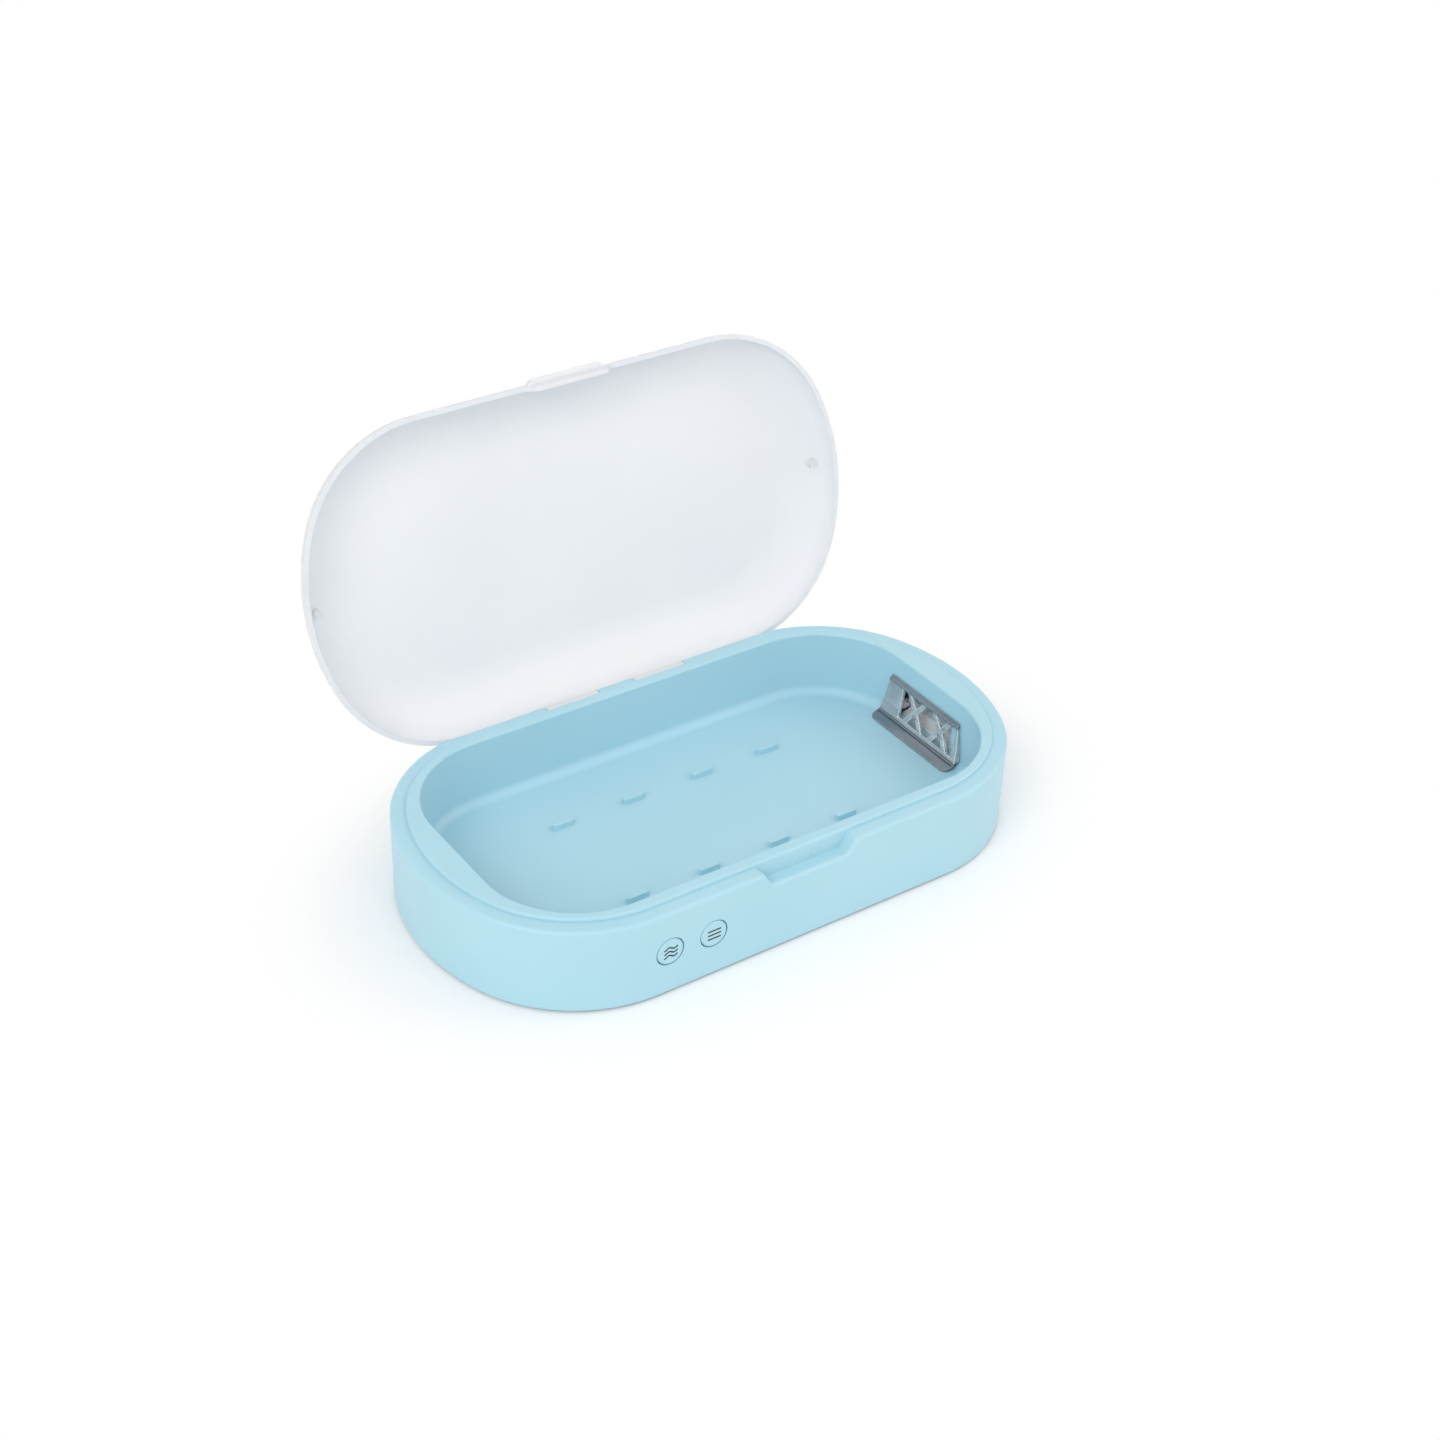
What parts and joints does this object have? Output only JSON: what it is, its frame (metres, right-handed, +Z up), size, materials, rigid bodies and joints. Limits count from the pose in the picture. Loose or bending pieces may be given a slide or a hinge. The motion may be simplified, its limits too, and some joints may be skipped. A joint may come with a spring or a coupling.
{
  "type": "uv sterilizer box",
  "caption": "Shallow oval box with a hinged frosted dome lid, a pale blue chamber with ultraviolet lamps behind lattice covers, and round push buttons on the front.",
  "frame": {"origin": "middle of the box on the plane that its feet stand on", "axes": "+X along the box to the right as seen from the front, front towards -Y, +Z up"},
  "size_m": [0.23, 0.1665, 0.1459],
  "materials": {
    "blue_shell": "fine satin moulded plastic",
    "frosted_lid": "frosted translucent plastic",
    "lamp_cover_clear": "clear smoky plastic",
    "quartz": "clear quartz glass",
    "bright_metal": "bright sheet",
    "steel": "plated",
    "board": "solder mask",
    "black_plastic": "moulded",
    "white_plastic": "moulded",
    "ribbon": "flat cable",
    "wire_sleeve": "wire insulation",
    "foot_rubber": "matt rubber"
  },
  "bodies": {
    "base": {"outer_housing": "blue_shell", "chamber_tray": "blue_shell", "bottom_cover": "blue_shell", "foot_pads": "foot_rubber", "cover_screws": "steel", "hinge_pin": "steel", "main_board": "board", "board_parts": "black_plastic", "board_screws": "steel", "button_board": "board", "key_switches": "black_plastic", "button_ribbon": "ribbon", "usb_inlet": "steel", "lid_sensors": "quartz", "lamp_cover_right": "lamp_cover_clear", "lamp_cover_left": "lamp_cover_clear", "uv_lamp_right": "quartz", "uv_lamp_left": "quartz", "lamp_caps_right": "bright_metal", "lamp_caps_left": "bright_metal", "lamp_holders_right": "white_plastic", "lamp_holders_left": "white_plastic", "reflector_right": "bright_metal", "reflector_left": "bright_metal", "lamp_leads_right": "wire_sleeve", "lamp_leads_left": "wire_sleeve"},
    "lid": {"lid": "frosted_lid", "lid_magnets": "white_plastic"},
    "button_aroma": {"button_aroma": "blue_shell"},
    "button_uv": {"button_uv": "blue_shell"}
  },
  "joints": [
    {"name": "lid_hinge", "type": "hinge", "parent": "base", "child": "lid", "pos_m": [0, 0.0593, 0.0308], "axis": [1, 0, 0], "range_deg": [0, 105]},
    {"name": "button_aroma_press", "type": "slide", "parent": "base", "child": "button_aroma", "axis": [0, 1, 0], "range_m": [0, 0.0005], "stiffness_N_per_m": 2000},
    {"name": "button_uv_press", "type": "slide", "parent": "base", "child": "button_uv", "axis": [0, 1, 0], "range_m": [0, 0.0005], "stiffness_N_per_m": 2000}
  ]
}
